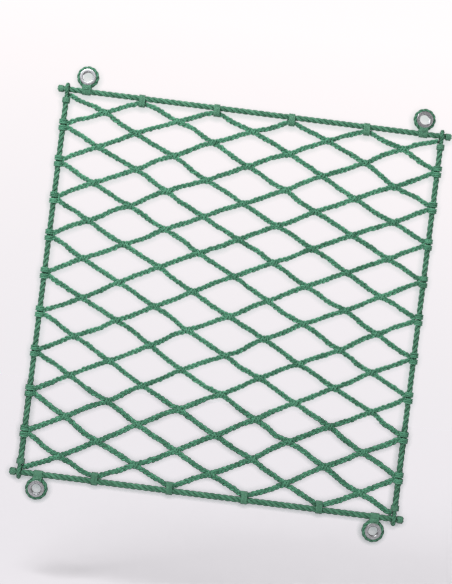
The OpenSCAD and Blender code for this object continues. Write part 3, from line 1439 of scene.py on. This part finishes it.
@dataclass
class EndRope:
    """The straight rope along the head or the foot, with its whipped ends and lashings.

    Attributes:
        plan: Places from the frame.
        edge: Head or foot.
        lead: Length in which a strand goes round once.
        twine_r: Radius of the whipping and lashing twine.
        seal: Length of the melted end.
    """

    plan: NetPlan
    edge: Edge
    lead: float = 45.0 * MM
    twine_r: float = 1.25 * MM
    seal: float = 2.0 * MM

    def node(self, head: str, foot: str) -> str:
        """Picks a name for this edge."""
        return head if self.edge is Edge.HEAD else foot

    def rope(self, finishes: Finishes) -> bpy.types.Object:
        """Lays the rope.

        Args:
            finishes: Materials of the net.

        Returns:
            The piece.
        """
        plan = self.plan
        z = plan.line_z[plan.edge_line(self.edge)]
        stop = plan.rope_end - self.seal
        lay = RopeLay(plan.rope_r, self.lead)
        bench = Bench(self.node("head_rope_laid", "foot_rope_laid"))
        a, b = np.array([-stop, 0, z]), np.array([stop, 0, z])
        bench.add(*lay.straight(a, b, 0.0, Z_AXIS, ends=True))
        piece = bench.make(finishes.rope)
        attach(piece, self.node("head", "foot"))
        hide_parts(self.node("head_rope", "foot_rope"))
        return piece

    def whippings(self, finishes: Finishes) -> bpy.types.Object:
        """Winds the whipping near both ends of the rope.

        Args:
            finishes: Materials of the net.

        Returns:
            The piece.
        """
        plan = self.plan
        z = plan.line_z[plan.edge_line(self.edge)]
        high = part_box(self.node("head_whippings", "foot_whippings"))[1]
        inner = plan.side_x + plan.rope_r + 2 * MM
        middle = (inner + high.x) / 2
        twine = 0.85 * MM
        turns = int((high.x - inner) / (TURN_PITCH * twine))
        bench = Bench(self.node("head_rope_whippings", "foot_rope_whippings"))
        for side in BOTH_SIDES:
            centre = np.array([side * middle, 0, z])
            reach = plan.rope_r + 0.7 * twine
            bench.add(wound_turns(centre, X_AXIS, reach, reach, twine, turns, 31 + side))
        piece = bench.make(finishes.twine)
        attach(piece, self.node("head", "foot"))
        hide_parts(self.node("head_whippings", "foot_whippings"))
        return piece

    def lashings(self, finishes: Finishes) -> bpy.types.Object:
        """Lashes the corners of the netting to the rope.

        Args:
            finishes: Materials of the net.

        Returns:
            The piece.
        """
        plan = self.plan
        line = plan.edge_line(self.edge)
        z = plan.line_z[line]
        bench = Bench(self.node("head_rope_lashings", "foot_rope_lashings"))
        reach = plan.rope_r + 0.9 * self.twine_r
        drop = 5.9 * MM
        for column in range(1, plan.columns):
            if plan.on_line(column, line):
                centre = np.array([plan.column_x(column), 0, z - self.edge.value * drop])
                seed = 50 + column
                bench.add(wound_turns(centre, X_AXIS, reach, reach, self.twine_r, 6, seed, offset=drop))
        piece = bench.make(finishes.twine)
        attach(piece, self.node("row_01", f"row_{plan.rows:02d}"))
        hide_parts(self.node("head_lashings", "foot_lashings"))
        return piece

    def build(self, finishes: Finishes) -> list[bpy.types.Object]:
        """Makes the rope, its whippings and its lashings."""
        return [self.rope(finishes), self.whippings(finishes), self.lashings(finishes)]


# ------------------------------------------------------------------ corner eyes


@dataclass
class CornerEyes:
    """The two thimble eyes on one rope, each with its ring of rope and its seizing.

    Attributes:
        plan: Places from the frame.
        edge: Head or foot.
        twine_r: Radius of the seizing twine.
        turns: Turns of each seizing.
    """

    plan: NetPlan
    edge: Edge
    twine_r: float = 1.15 * MM
    turns: int = 9

    def kind(self) -> str:
        """Word that the frame uses for these eyes."""
        return "hanging" if self.edge is Edge.HEAD else "anchor"

    def centre(self, side: int) -> np.ndarray:
        """Middle of one eye."""
        line = self.plan.line_z[self.plan.edge_line(self.edge)]
        return np.array([side * self.plan.eye_x, 0, line + self.edge.value * self.plan.eye_lift])

    def beckets(self, finishes: Finishes) -> bpy.types.Object:
        """Lays the ring of rope round each thimble.

        Args:
            finishes: Materials of the net.

        Returns:
            The piece.
        """
        plan = self.plan
        ring = plan.becket_out - plan.becket_r
        rope = RopeLay(plan.becket_r, TAU * ring / 4)
        turn = np.linspace(0, TAU, 4 * 24, endpoint=False)
        spoke = np.column_stack([np.cos(turn), np.zeros_like(turn), np.sin(turn)])
        tints = [0.45 + 0.06 * strand for strand in range(3)]
        bench = Bench(f"{self.kind()}_eye_ropes")
        for side in BOTH_SIDES:
            path = self.centre(side) + ring * spoke
            axes = spoke, np.cross(tangents(path, True), spoke)
            share = np.ones(len(turn))
            bench.add(*rope.strands(path, axes, turn * ring, share, -RING_TWIST, tints, closed=True))
        piece = bench.make(finishes.rope)
        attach(piece, "head" if self.edge is Edge.HEAD else "foot")
        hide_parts(f"{self.kind()}_beckets")
        return piece

    def thimble_profile(self) -> np.ndarray:
        """Draws the section of a thimble.

        Returns:
            Its outline as (radius, y), with rolled lips and a round groove.
        """
        plan = self.plan
        lip = 1.1 * MM
        ring = plan.becket_out - plan.becket_r
        groove = plan.becket_r + 0.1 * MM
        bore, rim, level = plan.bore_r + lip, plan.flange_r - lip, plan.thimble_half - lip
        reach = 0.96 * math.acos(min(1.0, max(-1.0, (ring - (plan.flange_r - 1.2 * lip)) / groove)))
        points = arc((bore, level), lip, math.pi, 0.5 * math.pi, 7)
        points += arc((rim, level), lip, 0.5 * math.pi, -0.35 * math.pi, 9)
        points += arc((ring, 0.0), groove, math.pi - reach, math.pi + reach, 19)
        points += arc((rim, -level), lip, 0.35 * math.pi, -0.5 * math.pi, 9)
        points += arc((bore, -level), lip, -0.5 * math.pi, -math.pi, 7)
        return np.array(points)

    def thimbles(self, finishes: Finishes) -> bpy.types.Object:
        """Turns the two thimbles.

        Args:
            finishes: Materials of the net.

        Returns:
            The piece.
        """
        bench = Bench(f"{self.kind()}_eye_thimbles")
        profile = self.thimble_profile()
        for side in BOTH_SIDES:
            bench.add(lathe(profile, self.centre(side), 72))
        piece = bench.make(finishes.steel)
        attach(piece, "head" if self.edge is Edge.HEAD else "foot")
        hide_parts(f"{self.kind()}_thimbles")
        return piece

    def seizings(self, finishes: Finishes) -> bpy.types.Object:
        """Winds the twine that holds each eye on its rope.

        Args:
            finishes: Materials of the net.

        Returns:
            The piece.
        """
        plan = self.plan
        line = plan.line_z[plan.edge_line(self.edge)]
        ring = plan.becket_out - plan.becket_r
        gap = plan.eye_lift - ring
        bench = Bench(f"{self.kind()}_eye_seizings")
        count = self.turns * 40
        turn = np.linspace(0, TAU * self.turns, count)
        sin = np.sin(turn)
        lift = (turn / TAU - self.turns / 2) * 1.95 * self.twine_r
        curve = ring - np.sqrt(np.maximum(ring**2 - lift**2, 0))
        top = gap + curve + plan.becket_r + 0.8 * self.twine_r
        bottom = -(plan.rope_r + 0.8 * self.twine_r)
        middle, half = (top + bottom) / 2, (top - bottom) / 2
        body = plan.rope_r + 0.9 * self.twine_r
        y = body * np.cos(turn) * (1 - 0.10 * (1 - sin**2))
        for side in BOTH_SIDES:
            draws = np.random.default_rng(70 + side)
            z = middle + half * np.sign(sin) * np.abs(sin) ** 0.62
            z += draws.normal(0, 0.05 * self.twine_r, count)
            path = np.column_stack([side * plan.eye_x + lift, y, line + self.edge.value * z])
            bench.add(sweep(path, self.twine_r, 8, X_AXIS, TWINE_TWIST, tint=0.5))
            waist = np.array([side * plan.eye_x, 0, line + self.edge.value * (plan.rope_r + 0.3 * MM)])
            bench.add(wound_turns(waist, Z_AXIS, 10.9 * MM, 9.6 * MM, self.twine_r, 3, 80 + side))
        piece = bench.make(finishes.twine)
        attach(piece, "head" if self.edge is Edge.HEAD else "foot")
        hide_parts(f"{self.kind()}_seizings")
        return piece

    def build(self, finishes: Finishes) -> list[bpy.types.Object]:
        """Makes the rings of rope, the thimbles and the seizings."""
        return [self.beckets(finishes), self.thimbles(finishes), self.seizings(finishes)]


# ------------------------------------------------------------------ studio


@dataclass(frozen=True)
class Lamp:
    """One soft square lamp that faces the net.

    Attributes:
        name: Name of the lamp.
        place: Where it hangs.
        size: Side of its face.
        power: Its power in watts.
        colour: Colour of its light.
    """

    name: str
    place: tuple[float, float, float]
    size: float
    power: float
    colour: tuple[float, float, float] = (1.0, 1.0, 1.0)

    def hang(self) -> None:
        """Hangs the lamp in the scene."""
        data = bpy.data.lights.new(self.name, "AREA")
        data.size = self.size
        data.energy = self.power
        data.color = self.colour
        made = bpy.data.objects.new(self.name, data)
        made.location = self.place
        made.rotation_euler = (-Vector(self.place)).to_track_quat("-Z", "Y").to_euler()
        bpy.context.scene.collection.objects.link(made)


LAMPS = (
    Lamp("key", (-1.05, -1.75, 1.75), 1.2, 83.0, (1.0, 0.99, 0.97)),
    Lamp("fill", (1.9, -2.0, 0.3), 2.0, 17.0, (1.0, 0.99, 0.93)),
    Lamp("back", (-0.6, 2.4, 1.4), 2.0, 34.0),
)
CLEAR = (1, 1, 1, 1)


@dataclass
class Studio:
    """Pale room, soft lamps and the camera.

    Attributes:
        roll: Turn of the camera about its line of sight, in degrees.
        span: Height of the view at the net.
        aim: Middle of the view, right and up of the net's middle as the camera sees it.
        lens: Focal length in millimetres.
        sensor: Width of the sensor in millimetres.
        wall_low: Colour of the room below eye level.
        wall_high: Colour of the room above it.
        horizon: Height, up and down, over which the one passes into the other.
        horizon_ease: Power that holds the lower colour longer.
        room_light: Share of the walls' brightness that lights the net.
        floor_drop: Distance of the floor below the net.
        painted_shadow_sheet: Distance behind the net of the clear sheet that carries a painted shadow.
        shade_reach: How far the sheet looks for cord, to paint its shadow.
        shade_lean: Direction in which it looks, which sets the side that the painted shadow falls on.
        shade_range: Openness at which the painted shadow is full, and at which it is gone.
        shade_tint: Colour of the full painted shadow.
    """

    roll: float = 7.2
    span: float = 1.378
    aim: tuple[float, float] = (-0.0106, 0.0286)
    lens: float = 85.0
    sensor: float = 36.0
    wall_low: tuple[float, float, float, float] = (0.840, 0.814, 0.848, 1)
    wall_high: tuple[float, float, float, float] = (1.040, 0.983, 0.989, 1)
    horizon: float = 0.19
    horizon_ease: float = 1.8
    room_light: float = 0.27
    floor_drop: float = 0.2
    painted_shadow_sheet: float = 14.0 * MM
    shade_reach: float = 18.0 * MM
    shade_lean: tuple[float, float, float] = (0.1, -0.8, 0.6)
    shade_range: tuple[float, float] = (0.52, 0.98)
    shade_tint: tuple[float, float, float, float] = (0.63, 0.72, 0.695, 1)

    def world(self) -> None:
        """Lights the room evenly from a pale sky."""
        world = bpy.data.worlds.new("pale_room")
        world.use_nodes = True
        tree = Tree(world.node_tree)
        back = world.node_tree.nodes["Background"]
        place = tree.put("ShaderNodeTexCoord").outputs["Generated"]
        height = tree.put("ShaderNodeSeparateXYZ", {0: place}).outputs[2]
        share = tree.sum("POWER", tree.spread(height, -self.horizon, self.horizon), self.horizon_ease)
        seen = tree.put("ShaderNodeLightPath").outputs["Is Camera Ray"]
        tree.feed(back.inputs["Color"], tree.blend(share, self.wall_low, self.wall_high))
        tree.feed(back.inputs["Strength"], tree.spread(seen, 0.0, 1.0, self.room_light, 1.0))
        bpy.context.scene.world = world
        bpy.context.scene.view_settings.view_transform = "Standard"

    def plane(
        self, name: str, steps: int, size: float, place: tuple, tilt: float, finish: bpy.types.Material,
    ) -> bpy.types.Object:
        """Adds a flat sheet that belongs to the room.

        Args:
            name: Name of the sheet.
            steps: Number of its faces along each side.
            size: Length of its side.
            place: Its middle.
            tilt: Its turn about X.
            finish: Its material.

        Returns:
            The sheet.
        """
        bpy.ops.mesh.primitive_grid_add(x_subdivisions=steps, y_subdivisions=steps, size=size)
        sheet = bpy.context.object
        sheet.name = name
        sheet.location = place
        sheet.rotation_euler = (tilt, 0, 0)
        sheet.data.materials.append(finish)
        return sheet

    def floor(self) -> None:
        """Lays a pale floor that shows only the net's shadow."""
        material, _, shader = new_material("pale_floor")
        shader.inputs["Base Color"].default_value = (0.85, 0.84, 0.86, 1)
        shader.inputs["Roughness"].default_value = 0.9
        floor = self.plane("floor", 4, 12.0, (0, 0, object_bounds()[0].z - self.floor_drop), 0, material)
        floor.is_shadow_catcher = True
        floor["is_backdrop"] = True

    def hang_painted_shadow(self) -> None:
        """Hangs a clear sheet close behind the net, with a painted shadow where cord lies near it."""
        material, tree, shader = new_material("painted_shadow")
        tree.nodes.remove(shader)
        lean = tree.put("ShaderNodeCombineXYZ", dict(enumerate(self.shade_lean))).outputs[0]
        looked = {"Distance": self.shade_reach, "Normal": lean}
        # Painted shadow: the tint comes from an occlusion lookup, not from the lamps.
        openness = tree.put("ShaderNodeAmbientOcclusion", looked, samples=6).outputs["AO"]
        tint = tree.blend(tree.spread(openness, *self.shade_range), self.shade_tint, CLEAR)
        behind = tree.put("ShaderNodeNewGeometry").outputs["Backfacing"]
        seen = tree.put("ShaderNodeLightPath").outputs["Is Camera Ray"]
        hidden = tree.sum("MAXIMUM", behind, tree.sum("SUBTRACT", 1.0, seen))
        clear = tree.put("ShaderNodeBsdfTransparent", {"Color": CLEAR}).outputs[0]
        dark = tree.put("ShaderNodeBsdfTransparent", {"Color": tint}).outputs[0]
        mixed = tree.put("ShaderNodeMixShader", {0: hidden, 1: dark, 2: clear}).outputs[0]
        tree.feed(tree.nodes["Material Output"].inputs["Surface"], mixed)
        sheet = self.plane("painted_shadow_sheet", 2, 1.1, (0, self.painted_shadow_sheet, 0), math.pi / 2, material)
        sheet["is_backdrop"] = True

    def camera(self) -> None:
        """Sets up the camera square to the net, turned a little about its line of sight."""
        data = bpy.data.cameras.new("camera")
        data.lens = self.lens
        data.sensor_width = self.sensor
        made = bpy.data.objects.new("camera", data)
        turn = math.radians(self.roll)
        right = Vector((math.cos(turn), 0, math.sin(turn)))
        up = Vector((-math.sin(turn), 0, math.cos(turn)))
        distance = self.span / 2 / (self.sensor / 2 / self.lens)
        place = right * self.aim[0] + up * self.aim[1] - Vector((0, distance, 0))
        basis = Matrix((right, up, right.cross(up))).transposed().to_4x4()
        made.matrix_world = Matrix.Translation(place) @ basis
        bpy.context.scene.collection.objects.link(made)
        bpy.context.scene.camera = made

    def build(self) -> None:
        """Sets up the world, the lamps, the floor, the sheet with the painted shadow and the camera."""
        self.world()
        for lamp in LAMPS:
            lamp.hang()
        self.floor()
        self.hang_painted_shadow()
        self.camera()


def main() -> None:
    """Builds the net round its frame, piece by piece."""
    logging.basicConfig(level=logging.INFO, format="%(name)s: %(message)s", stream=sys.stdout)
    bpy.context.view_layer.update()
    plan = NetPlan(frame)
    finishes = Finishes()
    drape = Drape(plan)
    for row in range(1, plan.rows + 1):
        KnitRow(plan, drape, row).build(finishes)
    SideRopes(plan).build(finishes)
    for edge in Edge:
        EndRope(plan, edge).build(finishes)
        CornerEyes(plan, edge).build(finishes)
    Studio().build()


if __name__ == "__main__":
    main()
